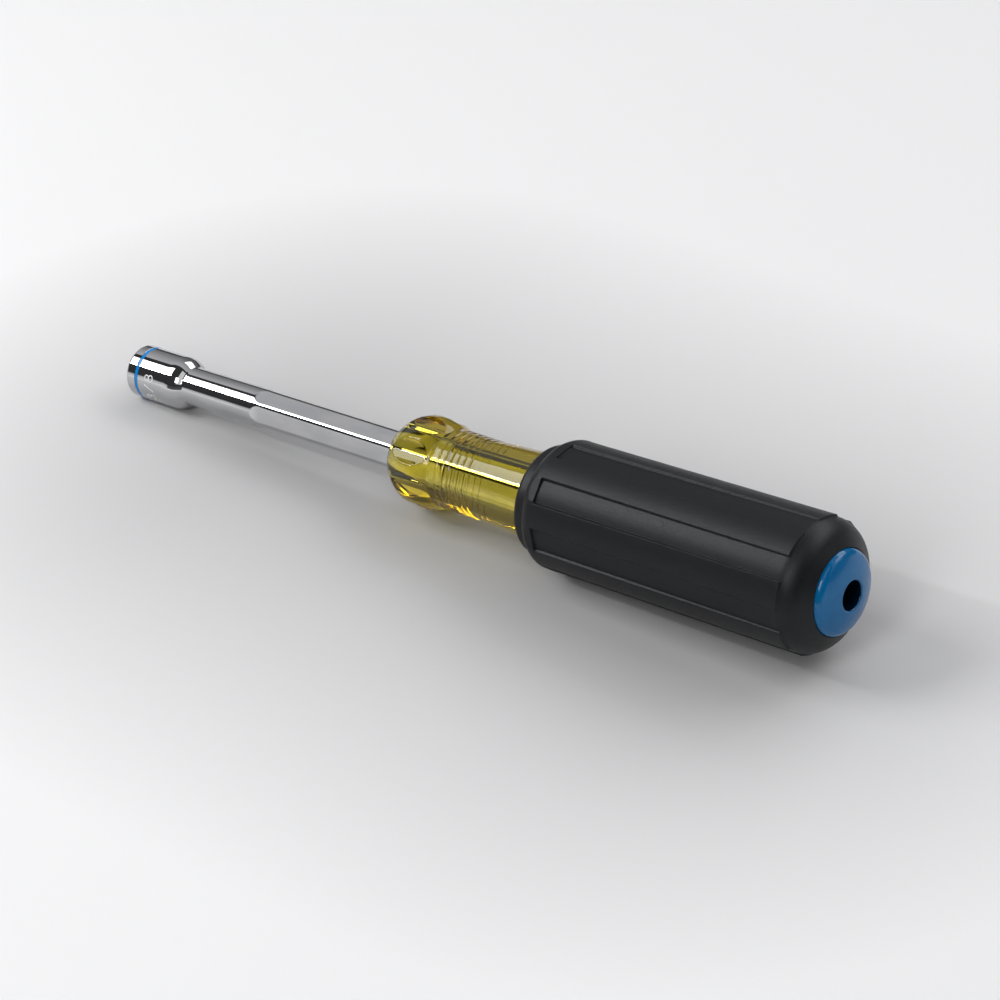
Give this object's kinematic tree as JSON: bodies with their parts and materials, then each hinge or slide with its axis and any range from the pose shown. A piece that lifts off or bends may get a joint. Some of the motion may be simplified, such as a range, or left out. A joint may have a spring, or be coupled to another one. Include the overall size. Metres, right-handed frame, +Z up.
{
  "type": "nut driver",
  "caption": "Hollow-shaft nut driver: chrome socket and hexagonal shank in a clear amber handle with a ribbed black cushion grip and a blue end cap.",
  "frame": {"origin": "centre of the socket's mouth, on the tool's axis", "axes": "+X along the axis from the socket to the end cap; +Z up, with a groove of the grip straight below, so that the tool lies on two ribs"},
  "size_m": [0.2201, 0.0312, 0.0312],
  "materials": {
    "chrome_plate": "bright plate",
    "blue_enamel": "gloss",
    "amber_acetate": "polished, clear",
    "black_grip": "fine matt texture",
    "blue_cap": "gloss"
  },
  "bodies": {
    "root": {"drive_shaft": "chrome_plate", "colour_band": "blue_enamel", "handle_core": "amber_acetate", "cushion_grip": "black_grip", "end_cap": "blue_cap"}
  },
  "joints": []
}
